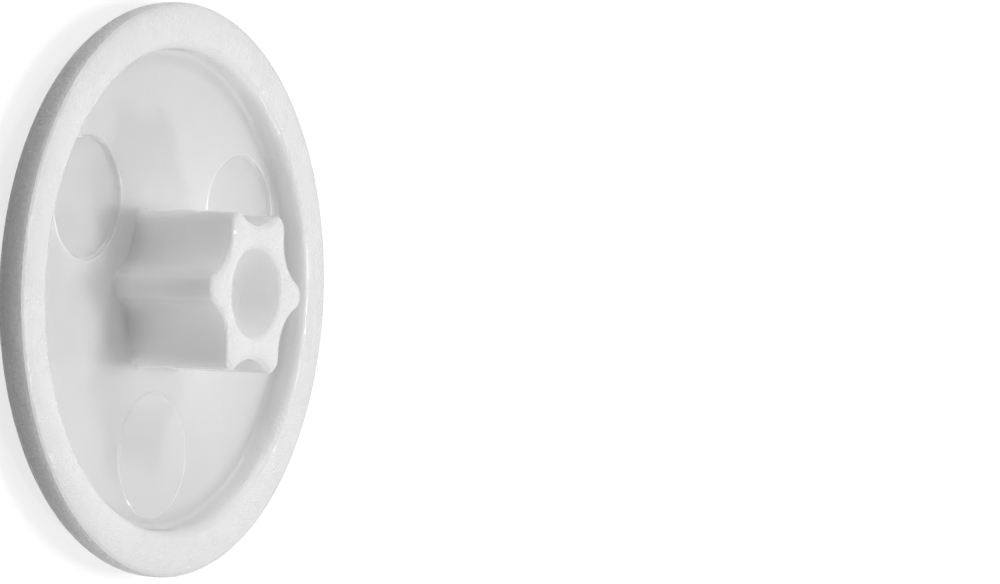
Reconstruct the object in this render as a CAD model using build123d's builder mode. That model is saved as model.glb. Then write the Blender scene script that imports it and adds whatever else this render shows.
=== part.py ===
# Press-in cover cap for a screw head, one moulded piece of white thermoplastic.
# It lies on its domed outer face with the plug pointing up. The origin is on the axis,
# at the lowest point of the dome, and +Z runs along the axis to the plug's end face.
# The front of the part is -Y. Lengths are in millimetres and angles in degrees.
import os
from math import atan2, cos, degrees, radians, sin, tan

from build123d import *

# Round plate that hides the screw head
cap_diameter = 12.0  # across the plate
face_rise = 0.20  # how far the domed outer face falls away from its middle to its edge
edge_height = 0.80  # side of the plate, from the dome's edge to the rim, before rounding
edge_radius = 0.60  # rounding between the domed face and the side
rim_corner_radius = 0.12  # the rim's outer corner

# Flat rim and the shallow recess inside it
rim_width = 0.95  # flat ring that seats round the screw, before its inner edge is rounded
recess_depth = 0.47  # from the rim to the recess floor
recess_draft = 6.0  # slope of the recess wall from the axis
recess_lip_radius = 0.22  # rounding of the rim's inner edge
recess_floor_radius = 0.15  # rounding at the foot of the recess wall

# Six-lobed plug for a star-shaped screw drive
lobe_count = 6
plug_across_lobes = 3.68  # over two opposite lobes, at the end face
plug_across_valleys = 2.78  # over two opposite valleys, at the end face
plug_lobe_radius = 0.30  # rounding of each lobe
plug_height = 1.88  # from the rim to the plug's end face
plug_draft = 0.25  # slope of the plug's flanks from the axis
plug_end_radius = 0.06  # rounding round the end face
plug_root_radius = 0.05  # rounding where the plug stands on the recess floor

# Blind core hole that thins the plug, with a bottom shaped like half a ball
core_diameter = 1.86
core_wall_depth = 0.18  # from the end face down to where the ball shape begins
core_lip_radius = 0.05  # rounding of the hole's mouth

# Round witness marks of the ejector pins on the recess floor, each in front of a valley
pin_mark_plug_gap = 0.80  # from the plug's valley to the mark
pin_mark_wall_gap = 0.25  # from the mark to the foot of the recess wall
pin_mark_heights = [0.02, -0.08, -0.10]  # above the floor, so a sunk mark is negative
pin_mark_lip_radius = 0.01  # rounding of each mark's outline

# Radii and levels along the axis that follow from the sizes above
cap_radius = cap_diameter / 2
rim_inner_radius = cap_radius - rim_width
recess_floor_edge = rim_inner_radius - recess_depth * tan(radians(recess_draft))
rim_level = face_rise + edge_height
floor_level = rim_level - recess_depth
end_level = rim_level + plug_height
core_radius = core_diameter / 2
core_ball_level = end_level - core_wall_depth

# Star outline: lobe arcs and valley arcs that meet without a corner
half_pitch = 180 / lobe_count
lobe_centre = plug_across_lobes / 2 - plug_lobe_radius
valley_reach = plug_across_valleys / 2
valley_half_sweep = 2 * degrees(
    atan2(
        lobe_centre * cos(radians(half_pitch)) + plug_lobe_radius - valley_reach,
        lobe_centre * sin(radians(half_pitch)),
    )
)
lobe_half_sweep = half_pitch + valley_half_sweep

# Each ejector mark fills the floor between the plug and the recess wall, less its gaps
pin_mark_near = valley_reach + pin_mark_plug_gap
pin_mark_far = recess_floor_edge - pin_mark_wall_gap
pin_mark_radius = (pin_mark_far - pin_mark_near) / 2
pin_mark_circle_radius = (pin_mark_far + pin_mark_near) / 2


def polar(radius, angle):
    """Point at a radius and an angle about the axis."""
    return (radius * cos(radians(angle)), radius * sin(radians(angle)))


with BuildPart() as cap:
    # Plate, rim and recess: one section turned round the axis
    dome_edge = (cap_radius, face_rise)
    rim_corner = (cap_radius, rim_level)
    recess_lip = (rim_inner_radius, rim_level)
    recess_foot = (recess_floor_edge, floor_level)
    with BuildSketch(Plane.XZ) as plate_section:
        with BuildLine():
            TangentArc((0, 0), dome_edge, tangent=(1, 0))
            Polyline(
                dome_edge,
                rim_corner,
                recess_lip,
                recess_foot,
                (0, floor_level),
                (0, 0),
            )
        make_face()
        for corner, radius in [
            (dome_edge, edge_radius),
            (rim_corner, rim_corner_radius),
            (recess_lip, recess_lip_radius),
            (recess_foot, recess_floor_radius),
        ]:
            fillet(plate_section.vertices().sort_by_distance(corner)[0], radius=radius)
    revolve(axis=Axis.Z)

    # Plug: the star at the end face, drawn down to the recess floor with draft
    with BuildSketch(Plane.XY.offset(end_level)):
        with BuildLine():
            for lobe in range(lobe_count):
                lobe_angle = (2 * lobe + 1) * half_pitch
                lobe_arc = CenterArc(
                    polar(lobe_centre, lobe_angle),
                    plug_lobe_radius,
                    start_angle=lobe_angle - lobe_half_sweep,
                    arc_size=2 * lobe_half_sweep,
                )
                ThreePointArc(
                    lobe_arc @ 1,
                    polar(valley_reach, lobe_angle + half_pitch),
                    (lobe_arc @ 0).rotate(Axis.Z, 2 * half_pitch),
                )
        make_face()
    extrude(amount=floor_level - end_level, taper=-plug_draft)
    end_face = cap.faces().filter_by(Axis.Z).sort_by(Axis.Z)[-1]
    fillet(end_face.outer_wire().edges(), radius=plug_end_radius)
    floor_face = cap.faces().filter_by(Axis.Z).sort_by_distance((0, 0, floor_level))[0]
    fillet(floor_face.inner_wires()[0].edges(), radius=plug_root_radius)

    # Core hole: half of its section turned round the axis, then its mouth rounded
    with BuildSketch(Plane.XZ):
        with BuildLine():
            ball_section = CenterArc((0, core_ball_level), core_radius, 270, 90)
            Polyline(
                ball_section @ 1,
                (core_radius, end_level),
                (0, end_level),
                ball_section @ 0,
            )
        make_face()
    revolve(axis=Axis.Z, mode=Mode.SUBTRACT)
    end_face = cap.faces().filter_by(Axis.Z).sort_by(Axis.Z)[-1]
    fillet(end_face.inner_wires()[0].edges(), radius=core_lip_radius)

    # Ejector pin marks, evenly spaced from +X: one just proud of the floor, the others sunk
    for index, height in enumerate(pin_mark_heights):
        mark_angle = index * 360 / len(pin_mark_heights)
        with BuildSketch(Plane.XY.offset(floor_level)):
            with Locations(polar(pin_mark_circle_radius, mark_angle)):
                Circle(pin_mark_radius)
        extrude(amount=height, mode=Mode.ADD if height > 0 else Mode.SUBTRACT)
        mark_outline = cap.edges(Select.LAST).filter_by(GeomType.CIRCLE).group_by(Axis.Z)[-1]
        fillet(mark_outline, radius=pin_mark_lip_radius)

cap.part.label = "cap"
os.makedirs("parts", exist_ok=True)
export_step(cap.part, "parts/cap.step")
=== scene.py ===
from math import atan2, cos, pi, radians, sin, tan

import bmesh
import bpy
from mathutils import Matrix, Vector, noise


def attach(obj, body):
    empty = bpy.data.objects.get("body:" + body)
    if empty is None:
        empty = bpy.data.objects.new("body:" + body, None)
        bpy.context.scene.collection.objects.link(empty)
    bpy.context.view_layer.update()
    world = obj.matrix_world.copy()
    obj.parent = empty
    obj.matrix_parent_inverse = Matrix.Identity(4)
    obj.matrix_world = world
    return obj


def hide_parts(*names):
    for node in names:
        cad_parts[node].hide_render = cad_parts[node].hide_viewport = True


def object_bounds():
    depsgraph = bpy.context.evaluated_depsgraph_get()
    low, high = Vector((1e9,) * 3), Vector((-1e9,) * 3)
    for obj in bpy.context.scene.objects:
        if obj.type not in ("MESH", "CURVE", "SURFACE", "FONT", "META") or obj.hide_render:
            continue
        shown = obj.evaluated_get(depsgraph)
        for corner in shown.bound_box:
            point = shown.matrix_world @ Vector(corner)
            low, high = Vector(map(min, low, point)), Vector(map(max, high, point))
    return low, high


# Looks of a press-in cover cap for a screw head, moulded in one piece of white plastic.
# It lies on its domed outer face with the plug up. Lengths are in millimetres until a
# finished mesh is scaled to metres.
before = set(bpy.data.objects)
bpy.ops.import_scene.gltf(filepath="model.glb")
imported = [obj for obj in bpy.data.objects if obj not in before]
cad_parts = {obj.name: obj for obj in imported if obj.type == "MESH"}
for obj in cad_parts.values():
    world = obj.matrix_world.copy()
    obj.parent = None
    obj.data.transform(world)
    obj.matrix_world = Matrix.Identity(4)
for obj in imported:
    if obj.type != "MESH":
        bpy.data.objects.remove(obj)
cad_low, cad_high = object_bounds()

MM = 0.001

# Sizes of the moulding, as in the part's source
CAP_RADIUS = cad_high.x / MM
END_LEVEL = cad_high.z / MM
FACE_RISE = 0.20
RIM_LEVEL = 1.00
EDGE_RADIUS = 0.60
RIM_CORNER_RADIUS = 0.12
RIM_WIDTH = 0.95
RECESS_DEPTH = 0.47
RECESS_DRAFT = radians(6.0)
RECESS_LIP_RADIUS = 0.22
RECESS_FLOOR_RADIUS = 0.15
LOBE_COUNT = 6
PLUG_ACROSS_LOBES = 3.68
PLUG_ACROSS_VALLEYS = 2.78
PLUG_LOBE_RADIUS = 0.30
PLUG_DRAFT = radians(0.25)
PLUG_END_RADIUS = 0.06
PLUG_ROOT_RADIUS = 0.05
CORE_RADIUS = 0.93
CORE_WALL_DEPTH = 0.18
CORE_LIP_RADIUS = 0.05
PIN_MARK_HEIGHTS = (0.02, -0.08, -0.10)
PIN_MARK_RADIUS = 1.280
PIN_MARK_CIRCLE_RADIUS = 3.470

FLOOR_LEVEL = RIM_LEVEL - RECESS_DEPTH
RIM_INNER_RADIUS = CAP_RADIUS - RIM_WIDTH
RECESS_FOOT_RADIUS = RIM_INNER_RADIUS - RECESS_DEPTH * tan(RECESS_DRAFT)

# Fine features of the moulding, too small for the part's source
RIM_CROWN = 0.04  # how far the rim falls away from its inner edge to its outer corner
RIM_TOP = RIM_LEVEL + RIM_CROWN / 2
PARTING_ANGLE = radians(40)  # where the parting line lies on the rim's outer corner
PARTING_BEAD = 0.010  # how far the bead on the parting line stands out
PARTING_BEAD_SWEEP = radians(12)  # part of the corner's rounding that the bead takes
# Ring of plastic pressed into the gap round each ejector pin, rubbed lower in places
BURR_HEIGHTS = (0.022, 0.006, 0.010)
BURR_WIDTH = 0.060
BURR_WAVES_PER_MM = 1.7
BURR_RUBBED = 0.45  # share of the height that is rubbed off on average
BURR_UNEVENNESS = 1.6
BURR_MOST_RUBBED = 0.9
PIN_MARK_LIP = 0.045  # rounding of the burr towards the mark
PIN_MARK_BEAD = 0.028  # bead round the foot of a sunk mark

# The spark-eroded end face bends down a little before the rounding of its edges
EDGE_CROWN_RADIUS = 0.20
EDGE_CROWN_ANGLE = radians(42)
MOUTH_CROWN_RADIUS = 0.15
MOUTH_CROWN_ANGLE = radians(40)

# Finishes of the mould, in the order of the mesh's material slots
FINISHES = ("polished", "spark_eroded", "grained", "milled")

# Where one finish gives way to the next
DOME_FINISH_LEVEL = FACE_RISE + 0.15
RECESS_FINISH_RADIUS = RECESS_FOOT_RADIUS - 0.07
CORE_FINISH_RADIUS = CORE_RADIUS + 0.01
CORE_FINISH_LEVEL = FLOOR_LEVEL + 0.5
END_FINISH_LEVEL = END_LEVEL - 1.2 * PLUG_END_RADIUS

# How finely the moulding is meshed
TURN_STEPS = 288
DOME_STEPS = 30
EDGE_STEPS = 16
CORNER_STEPS = (5, 4)  # below and above the bead of the parting line
RIM_STEPS = 12
RECESS_LIP_STEPS = 10
RECESS_FLOOR_STEPS = 8
LOBE_STEPS = 20
VALLEY_STEPS = 12
OUTLINE_STEPS = LOBE_COUNT * (LOBE_STEPS + VALLEY_STEPS)
PLUG_ROOT_STEPS = 6
FLANK_STEPS = 8
CROWN_STEPS = 5
CORE_STEPS = 24
PIN_MARK_STEPS = 120
PIN_MARK_LIP_STEPS = 6
SUPPORT = 0.02  # a narrow ring beside each rounding keeps the flat next to it flat
SIDE_SUPPORT_LEVEL = 0.815
SAME_POINT = 1e-4  # points nearer than this are one point


# Drawing and turning
def line_to(bm, last, point):
    """Draw a straight line from the last vertex to a point."""
    last = bmesh.ops.extrude_vert_indiv(bm, verts=[last])["verts"][0]
    last.co = point
    return last


def arc_round(bm, last, centre, axis, angle, steps):
    """Draw an arc by swinging the last vertex round a centre."""
    swung = bmesh.ops.spin(
        bm, geom=[last], cent=centre, axis=axis, angle=angle, steps=steps
    )
    return next(e for e in swung["geom_last"] if isinstance(e, bmesh.types.BMVert))


def turned(bm, section, centre, steps):
    """Turn a section, drawn from the outside inwards, all the way round a centre."""
    for vert in section:
        vert.co.x += centre[0]
        vert.co.y += centre[1]
    lines = list({edge for vert in section for edge in vert.link_edges})
    bmesh.ops.spin(
        bm,
        geom=section + lines,
        cent=(*centre, 0),
        axis=(0, 0, 1),
        angle=2 * pi,
        steps=steps,
        use_merge=True,
    )
    bmesh.ops.remove_doubles(bm, verts=bm.verts, dist=SAME_POINT / 10)


def open_edges(bm):
    """Edges with a face on one side only, or with none."""
    return [edge for edge in bm.edges if len(edge.link_faces) < 2]


def quarter(steps):
    """Angles of a quarter turn, both ends included."""
    return [pi / 2 * step / steps for step in range(steps + 1)]


# The cap
def add_plate(bm):
    """Dome, rounded edge, side, rim and recess wall, turned from one section."""
    dome_radius = (CAP_RADIUS**2 + FACE_RISE**2) / (2 * FACE_RISE)
    edge_centre_radius = CAP_RADIUS - EDGE_RADIUS
    dome_sweep = atan2(
        edge_centre_radius,
        ((dome_radius - EDGE_RADIUS) ** 2 - edge_centre_radius**2) ** 0.5,
    )
    edge_centre_level = dome_radius - (dome_radius - EDGE_RADIUS) * cos(dome_sweep)
    wall_sweep = pi / 2 - RECESS_DRAFT
    lip_centre_radius = RIM_INNER_RADIUS + RECESS_LIP_RADIUS * tan(wall_sweep / 2)
    foot_centre_radius = RECESS_FOOT_RADIUS - RECESS_FLOOR_RADIUS * tan(wall_sweep / 2)
    counterclockwise = (0, -1, 0)
    clockwise = (0, 1, 0)

    others = set(bm.verts)
    last = bmesh.ops.create_vert(bm, co=(0, 0, 0))["vert"][0]
    last = arc_round(
        bm, last, (0, 0, dome_radius), counterclockwise, dome_sweep, DOME_STEPS
    )
    edge = (edge_centre_radius, 0, edge_centre_level)
    last = arc_round(bm, last, edge, counterclockwise, pi / 2 - dome_sweep, EDGE_STEPS)
    corner_radius = CAP_RADIUS - RIM_CORNER_RADIUS
    rim_slope = 2 * RIM_CROWN / (corner_radius - lip_centre_radius)
    corner_level = RIM_TOP - RIM_CROWN - RIM_CORNER_RADIUS * cos(rim_slope)
    corner = Vector((corner_radius, 0, corner_level))
    for level in (SIDE_SUPPORT_LEVEL, corner_level):
        last = line_to(bm, last, (CAP_RADIUS, 0, level))
    last = arc_round(bm, last, corner, counterclockwise, PARTING_ANGLE, CORNER_STEPS[0])
    for part, height in ((0.25, 0.8), (0.5, 1.0), (0.75, 0.8), (1.0, 0.0)):
        angle = PARTING_ANGLE + part * PARTING_BEAD_SWEEP
        reach = RIM_CORNER_RADIUS + height * PARTING_BEAD
        last = line_to(bm, last, corner + reach * Vector((cos(angle), 0, sin(angle))))
    rest = pi / 2 - rim_slope - PARTING_ANGLE - PARTING_BEAD_SWEEP
    last = arc_round(bm, last, corner, counterclockwise, rest, CORNER_STEPS[1])
    rim_width = last.co.x - lip_centre_radius
    for step in range(1, RIM_STEPS + 1):
        share = 1 - step / RIM_STEPS
        radius = lip_centre_radius + share * rim_width
        last = line_to(bm, last, (radius, 0, RIM_TOP - RIM_CROWN * share**2))
    lip = (lip_centre_radius, 0, RIM_TOP - RECESS_LIP_RADIUS)
    last = arc_round(bm, last, lip, counterclockwise, wall_sweep, RECESS_LIP_STEPS)
    foot = Vector((foot_centre_radius, 0, FLOOR_LEVEL + RECESS_FLOOR_RADIUS))
    wall_normal = Vector((cos(RECESS_DRAFT), 0, -sin(RECESS_DRAFT)))
    last = line_to(bm, last, foot + RECESS_FLOOR_RADIUS * wall_normal)
    last = arc_round(bm, last, foot, clockwise, wall_sweep, RECESS_FLOOR_STEPS)
    line_to(bm, last, (foot_centre_radius - SUPPORT, 0, FLOOR_LEVEL))
    section = [vert for vert in bm.verts if vert not in others]
    turned(bm, section, (0, 0), TURN_STEPS)


def draw_star(bm, outset, level):
    """Closed outline of the plug, moved outwards by an outset."""
    half_pitch = pi / LOBE_COUNT
    lobe_centre = PLUG_ACROSS_LOBES / 2 - PLUG_LOBE_RADIUS
    valley_reach = PLUG_ACROSS_VALLEYS / 2
    reach = PLUG_LOBE_RADIUS - valley_reach
    valley_centre = (lobe_centre**2 - reach**2) / (
        2 * lobe_centre * cos(half_pitch) + 2 * reach
    )
    lobe_sweep = 2 * atan2(
        valley_centre * sin(half_pitch), valley_centre * cos(half_pitch) - lobe_centre
    )
    valley_sweep = lobe_sweep - 2 * half_pitch

    def place(radius, angle):
        return Vector((radius * cos(angle), radius * sin(angle), level))

    start = place(lobe_centre, half_pitch)
    toward = half_pitch - lobe_sweep / 2
    start += (PLUG_LOBE_RADIUS + outset) * Vector((cos(toward), sin(toward), 0))
    last = bmesh.ops.create_vert(bm, co=start)["vert"][0]
    for lobe in range(LOBE_COUNT):
        lobe_angle = (2 * lobe + 1) * half_pitch
        centre = place(lobe_centre, lobe_angle)
        last = arc_round(bm, last, centre, (0, 0, 1), lobe_sweep, LOBE_STEPS)
        centre = place(valley_centre, lobe_angle + half_pitch)
        last = arc_round(bm, last, centre, (0, 0, -1), valley_sweep, VALLEY_STEPS)
    bmesh.ops.remove_doubles(bm, verts=bm.verts, dist=SAME_POINT)


def add_plug(bm):
    """Plug, raised from the recess floor by insets that follow its section."""
    root = (END_LEVEL - FLOOR_LEVEL) * tan(PLUG_DRAFT)
    section = [(root + PLUG_ROOT_RADIUS + SUPPORT, FLOOR_LEVEL)]
    for turn in quarter(PLUG_ROOT_STEPS):
        outset = root + PLUG_ROOT_RADIUS * (1 - sin(turn))
        section.append((outset, FLOOR_LEVEL + PLUG_ROOT_RADIUS * (1 - cos(turn))))
    flank_foot = FLOOR_LEVEL + PLUG_ROOT_RADIUS
    bend = EDGE_CROWN_RADIUS - PLUG_END_RADIUS
    flank_head = END_LEVEL - EDGE_CROWN_RADIUS + bend * cos(EDGE_CROWN_ANGLE)
    for step in range(1, FLANK_STEPS):
        level = flank_foot + (flank_head - flank_foot) * step / FLANK_STEPS
        section.append(((END_LEVEL - level) * tan(PLUG_DRAFT), level))
    rounding = (pi / 2 - EDGE_CROWN_ANGLE) / (pi / 2)
    for turn in quarter(CROWN_STEPS):
        turn *= rounding
        outset = -PLUG_END_RADIUS * (1 - cos(turn))
        section.append((outset, flank_head + PLUG_END_RADIUS * sin(turn)))
    crown_outset = -PLUG_END_RADIUS - bend * sin(EDGE_CROWN_ANGLE)
    for step in range(1, CROWN_STEPS + 1):
        tilt = EDGE_CROWN_ANGLE * (1 - step / CROWN_STEPS)
        outset = crown_outset + EDGE_CROWN_RADIUS * sin(tilt)
        section.append((outset, END_LEVEL - EDGE_CROWN_RADIUS * (1 - cos(tilt))))
    section.append((crown_outset - SUPPORT, END_LEVEL))

    draw_star(bm, *section[0])
    top = bmesh.ops.edgeloop_fill(bm, edges=bm.edges)["faces"][0]
    if top.normal.z < 0:
        top.normal_flip()
    for (outset, level), (next_outset, next_level) in zip(section, section[1:]):
        bmesh.ops.inset_individual(
            bm,
            faces=[top],
            thickness=outset - next_outset,
            depth=next_level - level,
            use_even_offset=True,
        )
    bmesh.ops.delete(bm, geom=[top], context="FACES_ONLY")


def add_core_hole(bm):
    """Blind hole in the plug, turned from its mouth down to its ball-shaped bottom."""
    others = set(bm.verts)
    bend = MOUTH_CROWN_RADIUS - CORE_LIP_RADIUS
    mouth_radius = CORE_RADIUS + CORE_LIP_RADIUS + bend * sin(MOUTH_CROWN_ANGLE)
    start = (mouth_radius + SUPPORT, 0, END_LEVEL)
    last = bmesh.ops.create_vert(bm, co=start)["vert"][0]
    last = line_to(bm, last, (mouth_radius, 0, END_LEVEL))
    crown = (mouth_radius, 0, END_LEVEL - MOUTH_CROWN_RADIUS)
    last = arc_round(bm, last, crown, (0, -1, 0), MOUTH_CROWN_ANGLE, CROWN_STEPS)
    lip_level = END_LEVEL - MOUTH_CROWN_RADIUS + bend * cos(MOUTH_CROWN_ANGLE)
    lip = (CORE_RADIUS + CORE_LIP_RADIUS, 0, lip_level)
    last = arc_round(
        bm, last, lip, (0, -1, 0), pi / 2 - MOUTH_CROWN_ANGLE, CROWN_STEPS
    )
    ball_level = END_LEVEL - CORE_WALL_DEPTH
    last = line_to(bm, last, (CORE_RADIUS, 0, ball_level))
    arc_round(bm, last, (0, 0, ball_level), (0, 1, 0), pi / 2, CORE_STEPS)
    section = [vert for vert in bm.verts if vert not in others]
    turned(bm, section, (0, 0), OUTLINE_STEPS)


def add_pin_mark(bm, index, height):
    """One ejector pin's round witness mark in the recess floor."""
    angle = 2 * pi * index / len(PIN_MARK_HEIGHTS)
    centre = (PIN_MARK_CIRCLE_RADIUS * cos(angle), PIN_MARK_CIRCLE_RADIUS * sin(angle))
    others = set(bm.verts)
    top = max(height, 0) + BURR_HEIGHTS[index]
    lip = min(PIN_MARK_LIP, 0.8 * (top - height))
    slope = BURR_WIDTH - lip
    foot = PIN_MARK_BEAD if height < 0 else 0.0
    start = (PIN_MARK_RADIUS + BURR_WIDTH + SUPPORT, 0, FLOOR_LEVEL)
    last = bmesh.ops.create_vert(bm, co=start)["vert"][0]
    for out, up in (
        (BURR_WIDTH, 0.0),
        (BURR_WIDTH - 0.25 * slope, 0.15 * top),
        (BURR_WIDTH - 0.75 * slope, 0.85 * top),
        (lip, top),
    ):
        last = line_to(bm, last, (PIN_MARK_RADIUS + out, 0, FLOOR_LEVEL + up))
    lip_centre = (PIN_MARK_RADIUS + lip, 0, FLOOR_LEVEL + top - lip)
    last = arc_round(bm, last, lip_centre, (0, -1, 0), pi / 2, PIN_MARK_LIP_STEPS)
    for inward, up in (
        (0.0, foot),
        (0.2, foot),
        (0.5, 1.2 * foot),
        (0.8, foot),
        (1.2, 0.4 * foot),
        (1.6, 0.0),
        (2.4, 0.0),
    ):
        radius = PIN_MARK_RADIUS - inward * PIN_MARK_BEAD
        last = line_to(bm, last, (radius, 0, FLOOR_LEVEL + height + up))
    line_to(bm, last, (0, 0, FLOOR_LEVEL + height))
    section = [vert for vert in bm.verts if vert not in others]
    turned(bm, section, centre, PIN_MARK_STEPS)
    for vert in bm.verts:
        proud = vert.co.z - FLOOR_LEVEL - max(height, 0)
        if vert in others or proud <= SAME_POINT:
            continue
        along = noise.noise(Vector((vert.co.x, vert.co.y, index)) * BURR_WAVES_PER_MM)
        rubbed = BURR_RUBBED - BURR_UNEVENNESS * along
        vert.co.z -= proud * min(max(rubbed, 0.0), BURR_MOST_RUBBED)


def fill_flat(bm, level):
    """Fill the flat between the open outlines at a level."""
    edges = [
        edge for edge in open_edges(bm) if abs(edge.verts[0].co.z - level) < SAME_POINT
    ]
    bmesh.ops.triangle_fill(
        bm, use_beauty=True, use_dissolve=False, edges=edges, normal=(0, 0, 1)
    )


def finish_at(face):
    """Which finish the mould's steel left on a face."""
    middle = face.calc_center_median()
    radius = middle.xy.length
    parting_reach = RIM_CORNER_RADIUS * (1 - cos(PARTING_ANGLE + PARTING_BEAD_SWEEP))
    if radius > CAP_RADIUS - parting_reach or middle.z < DOME_FINISH_LEVEL:
        return "grained"
    if radius > RECESS_FINISH_RADIUS:
        return "spark_eroded" if middle.z > RIM_LEVEL / 2 else "grained"
    if radius < CORE_FINISH_RADIUS and middle.z > CORE_FINISH_LEVEL:
        return "milled"
    if middle.z > END_FINISH_LEVEL:
        return "spark_eroded"
    return "polished"


def make_cap():
    """The whole moulding as one closed skin."""
    bm = bmesh.new()
    add_plug(bm)
    add_core_hole(bm)
    fill_flat(bm, END_LEVEL)
    for index, height in enumerate(PIN_MARK_HEIGHTS):
        add_pin_mark(bm, index, height)
    add_plate(bm)
    fill_flat(bm, FLOOR_LEVEL)
    bmesh.ops.recalc_face_normals(bm, faces=bm.faces)
    for face in bm.faces:
        face.smooth = True
        face.material_index = FINISHES.index(finish_at(face))
    bmesh.ops.scale(bm, vec=(MM, MM, MM), verts=bm.verts)
    mesh = bpy.data.meshes.new("moulded_cap")
    bm.to_mesh(mesh)
    bm.free()
    cap = bpy.data.objects.new("moulded_cap", mesh)
    bpy.context.scene.collection.objects.link(cap)
    return cap


# Materials
def from_srgb(code):
    """Linear colour with alpha from an sRGB hex code such as #DADCDC."""
    channels = [int(code[i : i + 2], 16) / 255 for i in (1, 3, 5)]
    return tuple(
        c / 12.92 if c <= 0.04045 else ((c + 0.055) / 1.055) ** 2.4 for c in channels
    ) + (1.0,)


def add_node(tree, kind, settings, inputs):
    """Add a node, set its properties, and set or link its inputs by name or number."""
    node = tree.nodes.new(kind)
    for name, value in settings.items():
        setattr(node, name, value)
    for key, value in inputs.items():
        if isinstance(value, bpy.types.NodeSocket):
            tree.links.new(value, node.inputs[key])
        else:
            node.inputs[key].default_value = value
    return node


# A noise texture's lumps are about one over its scale across, so each scale here is one
# over a size in millimetres.
def polished_relief(tree, place):
    """Mirror-smooth steel: clean reflections that the shrunk plastic bends a little."""
    waves = add_node(
        tree,
        "ShaderNodeTexNoise",
        {},
        {"Vector": place, "Scale": 1 / (0.9 * MM), "Detail": 1.0, "Roughness": 0.6},
    )
    return waves.outputs["Fac"], 0.005


def spark_eroded_relief(tree, place):
    """Craters 0.055 mm across, as sparks leave them: a fine sand with bright points.

    They are deeper in some places than in others, and worn on the rounded edges.
    """
    craters = add_node(
        tree,
        "ShaderNodeTexNoise",
        {},
        {"Vector": place, "Scale": 1 / (0.055 * MM), "Detail": 1.0, "Roughness": 0.6},
    )
    patches = add_node(
        tree,
        "ShaderNodeTexNoise",
        {},
        {"Vector": place, "Scale": 1 / (0.9 * MM), "Detail": 2.0, "Roughness": 0.6},
    )
    patch_depth = add_node(
        tree,
        "ShaderNodeMapRange",
        {"interpolation_type": "SMOOTHSTEP"},
        {
            "Value": patches.outputs["Fac"],
            "From Min": 0.40,
            "From Max": 0.60,
            "To Min": 0.4,
            "To Max": 1.0,
        },
    )
    surface = add_node(tree, "ShaderNodeTexCoord", {}, {})
    facing = add_node(
        tree, "ShaderNodeSeparateXYZ", {}, {"Vector": surface.outputs["Normal"]}
    )
    edge_depth = add_node(
        tree,
        "ShaderNodeMapRange",
        {"interpolation_type": "SMOOTHSTEP"},
        {
            "Value": facing.outputs["Z"],
            "From Min": 0.90,
            "From Max": 0.995,
            "To Min": 0.6,
            "To Max": 1.0,
        },
    )
    depth = add_node(
        tree,
        "ShaderNodeMath",
        {"operation": "MULTIPLY"},
        {0: patch_depth.outputs["Result"], 1: edge_depth.outputs["Result"]},
    )
    height = add_node(
        tree,
        "ShaderNodeMath",
        {"operation": "MULTIPLY"},
        {0: craters.outputs["Fac"], 1: depth.outputs["Value"]},
    )
    return height.outputs["Value"], 0.028


def leather_relief(tree, place):
    """Etched leather grain: soft pads between creases, with pores, that looks matt.

    The pads are 0.16 mm across, coarser than the photo's 0.1 mm, so that they still
    show in a render of this size.
    """
    bend = add_node(
        tree,
        "ShaderNodeTexNoise",
        {},
        {"Vector": place, "Scale": 1 / (0.25 * MM), "Detail": 2.0},
    )
    bent = add_node(
        tree,
        "ShaderNodeVectorMath",
        {"operation": "MULTIPLY_ADD"},
        {0: bend.outputs["Color"], 1: (0.16 * MM,) * 3, 2: place},
    )
    cells = add_node(
        tree,
        "ShaderNodeTexVoronoi",
        {"feature": "DISTANCE_TO_EDGE"},
        {"Vector": bent.outputs["Vector"], "Scale": 1 / (0.16 * MM)},
    )
    pads = add_node(
        tree,
        "ShaderNodeMapRange",
        {"interpolation_type": "SMOOTHSTEP"},
        {"Value": cells.outputs["Distance"], "From Max": 0.25},
    )
    pores = add_node(
        tree,
        "ShaderNodeTexNoise",
        {},
        {"Vector": place, "Scale": 1 / (0.05 * MM), "Detail": 2.0, "Roughness": 0.6},
    )
    height = add_node(
        tree,
        "ShaderNodeMath",
        {"operation": "MULTIPLY_ADD"},
        {0: pores.outputs["Fac"], 1: 0.8, 2: pads.outputs["Result"]},
    )
    return height.outputs["Value"], 0.012


def milled_relief(tree, place):
    """Dull steel of a ball cutter, with a few hairlines where it rubbed on one side."""
    ring_gap = 0.44 * MM
    rings = add_node(
        tree,
        "ShaderNodeTexWave",
        {"wave_type": "RINGS", "rings_direction": "Z"},
        {
            "Vector": place,
            "Scale": 2 * pi / (20 * ring_gap),
            "Distortion": 1.5,
            "Detail": 1.0,
            "Detail Scale": 3.0,
        },
    )
    lines = add_node(
        tree,
        "ShaderNodeMapRange",
        {"interpolation_type": "SMOOTHSTEP"},
        {"Value": rings.outputs["Fac"], "From Min": 0.90},
    )
    side = add_node(tree, "ShaderNodeSeparateXYZ", {}, {"Vector": place})
    rubbed = add_node(
        tree,
        "ShaderNodeMapRange",
        {"interpolation_type": "SMOOTHSTEP"},
        {"Value": side.outputs["Y"], "From Min": 0.45 * MM, "From Max": 0.65 * MM},
    )
    height = add_node(
        tree,
        "ShaderNodeMath",
        {"operation": "MULTIPLY"},
        {0: lines.outputs["Result"], 1: rubbed.outputs["Result"]},
    )
    return height.outputs["Value"], 0.016


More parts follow.
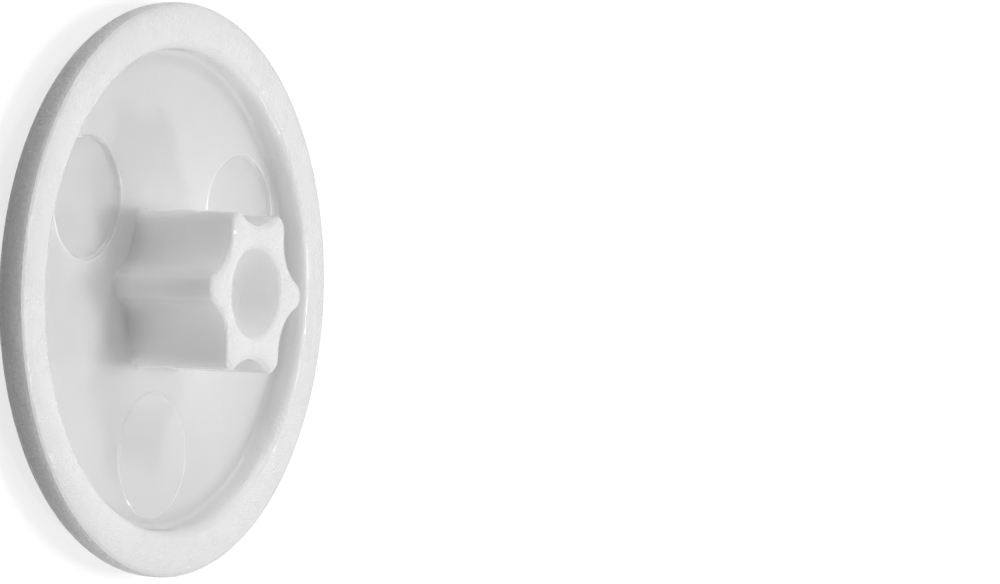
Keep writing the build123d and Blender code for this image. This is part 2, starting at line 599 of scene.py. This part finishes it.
def white_polypropylene(finish, relief, roughness, depth_share):
    """Injection-moulded polypropylene: satin white, with light that seeps into it.

    Shadows on it are soft and its thin lobes look a little lit from within.
    """
    material = bpy.data.materials.new(finish + "_white_polypropylene")
    material.use_nodes = True
    tree = material.node_tree
    tree.nodes.clear()
    place = add_node(tree, "ShaderNodeTexCoord", {}, {}).outputs["Object"]
    height, depth_mm = relief(tree, place)
    bump = add_node(
        tree, "ShaderNodeBump", {}, {"Height": height, "Distance": depth_mm * MM}
    )
    # Where the melt ran last, the plastic is a trace greyer and duller
    flow = add_node(
        tree,
        "ShaderNodeTexNoise",
        {},
        {"Vector": place, "Scale": 1 / (2.2 * MM), "Detail": 2.0, "Roughness": 0.6},
    )
    flow_range = {"Value": flow.outputs["Fac"], "From Min": 0.35, "From Max": 0.65}
    whiter = add_node(
        tree, "ShaderNodeMapRange", {"interpolation_type": "SMOOTHSTEP"}, flow_range
    )
    sheen = add_node(
        tree,
        "ShaderNodeMapRange",
        {"interpolation_type": "SMOOTHSTEP"},
        {**flow_range, "To Min": roughness + 0.03, "To Max": roughness - 0.03},
    )
    colour = add_node(
        tree,
        "ShaderNodeMix",
        {"data_type": "RGBA"},
        {
            "Factor": whiter.outputs["Result"],
            6: from_srgb("#F6F6F6"),
            7: from_srgb("#F9F9F9"),
        },
    )
    shader = add_node(
        tree,
        "ShaderNodeBsdfPrincipled",
        {},
        {
            "Base Color": colour.outputs[2],
            "Roughness": sheen.outputs["Result"],
            "IOR": 1.49,
            "Subsurface Weight": depth_share,
            "Subsurface Radius": (1.0, 1.0, 1.0),
            "Subsurface Scale": 1.3 * MM,
            "Normal": bump.outputs["Normal"],
        },
    )
    add_node(tree, "ShaderNodeOutputMaterial", {}, {"Surface": shader.outputs["BSDF"]})
    return material


cap = make_cap()
for finish, relief, roughness, depth_share in (
    ("polished", polished_relief, 0.15, 0.9),
    ("spark_eroded", spark_eroded_relief, 0.14, 0.6),
    ("grained", leather_relief, 0.34, 0.7),
    ("milled", milled_relief, 0.50, 0.9),
):
    plastic = white_polypropylene(finish, relief, roughness, depth_share)
    cap.data.materials.append(plastic)
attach(cap, "root")
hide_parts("cap")


# A floor that the camera and reflections see as white paper, and that sends little
# light up to the cap. It keeps the cap's shadow.
FLOOR_HALF_SIZE = 1.0
FLOOR_GLOW = 0.76  # with the lamps' light on its grey, it makes paper white
bm = bmesh.new()
bmesh.ops.create_grid(bm, x_segments=1, y_segments=1, size=FLOOR_HALF_SIZE)
floor_mesh = bpy.data.meshes.new("paper_floor")
bm.to_mesh(floor_mesh)
bm.free()
paper_floor = bpy.data.objects.new("paper_floor", floor_mesh)
bpy.context.scene.collection.objects.link(paper_floor)


def seen_ray(tree):
    """1 for rays from the camera, from a reflection or through glass, else 0."""
    path = add_node(tree, "ShaderNodeLightPath", {}, {})
    seen = path.outputs["Is Camera Ray"]
    for name in ("Is Glossy Ray", "Is Transmission Ray"):
        seen = add_node(
            tree,
            "ShaderNodeMath",
            {"operation": "MAXIMUM"},
            {0: seen, 1: path.outputs[name]},
        ).outputs["Value"]
    return seen


def white_paper():
    """Matt paper, grey to the cap's light and white to the eye."""
    material = bpy.data.materials.new("white_paper")
    material.use_nodes = True
    tree = material.node_tree
    tree.nodes.clear()
    seen = seen_ray(tree)
    colour = add_node(
        tree,
        "ShaderNodeMix",
        {"data_type": "RGBA"},
        {"Factor": seen, 6: from_srgb("#808080"), 7: from_srgb("#A0A0A0")},
    )
    diffuse = add_node(tree, "ShaderNodeBsdfDiffuse", {}, {"Color": colour.outputs[2]})
    glow_strength = add_node(
        tree, "ShaderNodeMath", {"operation": "MULTIPLY"}, {0: seen, 1: FLOOR_GLOW}
    )
    glow = add_node(
        tree, "ShaderNodeEmission", {}, {"Strength": glow_strength.outputs["Value"]}
    )
    both = add_node(
        tree,
        "ShaderNodeAddShader",
        {},
        {0: diffuse.outputs["BSDF"], 1: glow.outputs["Emission"]},
    )
    add_node(tree, "ShaderNodeOutputMaterial", {}, {"Surface": both.outputs["Shader"]})
    return material


floor_mesh.materials.append(white_paper())

# Plain studio light: an even sky and softboxes, the strongest behind the cap
WORLD_LIGHT = 0.13
LAMP_DISTANCE = 240.0
world = bpy.data.worlds.new("studio")
bpy.context.scene.world = world
world.use_nodes = True
sky_tree = world.node_tree
sky_tree.nodes.clear()
strength = add_node(
    sky_tree,
    "ShaderNodeMapRange",
    {},
    {"Value": seen_ray(sky_tree), "To Min": WORLD_LIGHT, "To Max": 1.0},
)
sky = add_node(
    sky_tree,
    "ShaderNodeBackground",
    {},
    {"Color": (1, 1, 1, 1), "Strength": strength.outputs["Result"]},
)
add_node(sky_tree, "ShaderNodeOutputWorld", {}, {"Surface": sky.outputs["Background"]})


def softbox(name, from_x, above, size, watts):
    """Square lamp, seen from the cap at an angle from +X and above the floor."""
    turn, rise = radians(from_x), radians(above)
    toward = Vector((cos(rise) * cos(turn), cos(rise) * sin(turn), sin(rise)))
    lamp = bpy.data.lights.new(name, "AREA")
    lamp.shape = "SQUARE"
    lamp.size = size * MM
    lamp.energy = watts
    box = bpy.data.objects.new(name, lamp)
    bpy.context.scene.collection.objects.link(box)
    box.location = LAMP_DISTANCE * toward * MM
    box.rotation_euler = box.location.to_track_quat("Z", "Y").to_euler()


for name, from_x, above, size, watts in (
    ("softbox_low_near", 0, 20, 80, 0.021),
    ("softbox_low_right", 30, 20, 80, 0.047),
    ("softbox_low_high", 25, 45, 22, 0.088),
    ("softbox_back", 90, 65, 70, 0.240),
    ("softbox_above", 0, 90, 22, 0.029),
    ("softbox_top_high", 160, 45, 22, 0.088),
    ("softbox_top_low", 180, 20, 80, 0.068),
    ("softbox_front", 270, 40, 80, 0.014),
):
    softbox(name, from_x, above, size, watts)

# Camera: a long lens 150 mm from the middle of the rim, rolled so that the cap stands
# upright in the frame, with the cap at the left of the frame as in the photograph
FRAME_WIDTH, FRAME_HEIGHT = 1000, 584
RIM_CENTRE_IN_FRAME = (179.73, 290.16)
CAMERA_DISTANCE = 150.0
PIXELS_PER_RADIUS = 287.49
VIEW_FROM_AXIS = radians(58.21)
VIEW_TURN = radians(1.95)
VIEW_ROLL = 0.0337
SENSOR_WIDTH = 36.0

focal_pixels = PIXELS_PER_RADIUS * CAMERA_DISTANCE / CAP_RADIUS
across = Vector(
    (
        -sin(VIEW_TURN) * cos(VIEW_FROM_AXIS),
        cos(VIEW_TURN) * cos(VIEW_FROM_AXIS),
        sin(VIEW_FROM_AXIS),
    )
)
upward = Vector((-cos(VIEW_TURN), -sin(VIEW_TURN), 0))
toward_camera = across.cross(upward)
looking = Matrix((across, upward, toward_camera)).transposed()
rolled = looking @ Matrix.Rotation(VIEW_ROLL, 3, "Z")
offset = Vector(
    (
        (RIM_CENTRE_IN_FRAME[0] - FRAME_WIDTH / 2) / focal_pixels,
        (FRAME_HEIGHT / 2 - RIM_CENTRE_IN_FRAME[1]) / focal_pixels,
        -1,
    )
)
aimed = rolled @ offset.rotation_difference(Vector((0, 0, -1))).to_matrix()
camera_data = bpy.data.cameras.new("camera")
camera_data.sensor_width = SENSOR_WIDTH
camera_data.lens = SENSOR_WIDTH * focal_pixels / FRAME_WIDTH
camera_data.clip_start = 0.01
camera = bpy.data.objects.new("camera", camera_data)
bpy.context.scene.collection.objects.link(camera)
place = Vector((0, 0, RIM_LEVEL)) + CAMERA_DISTANCE * toward_camera
camera.matrix_world = Matrix.Translation(place * MM) @ aimed.to_4x4()
bpy.context.scene.camera = camera

bpy.context.scene.view_settings.view_transform = "Standard"
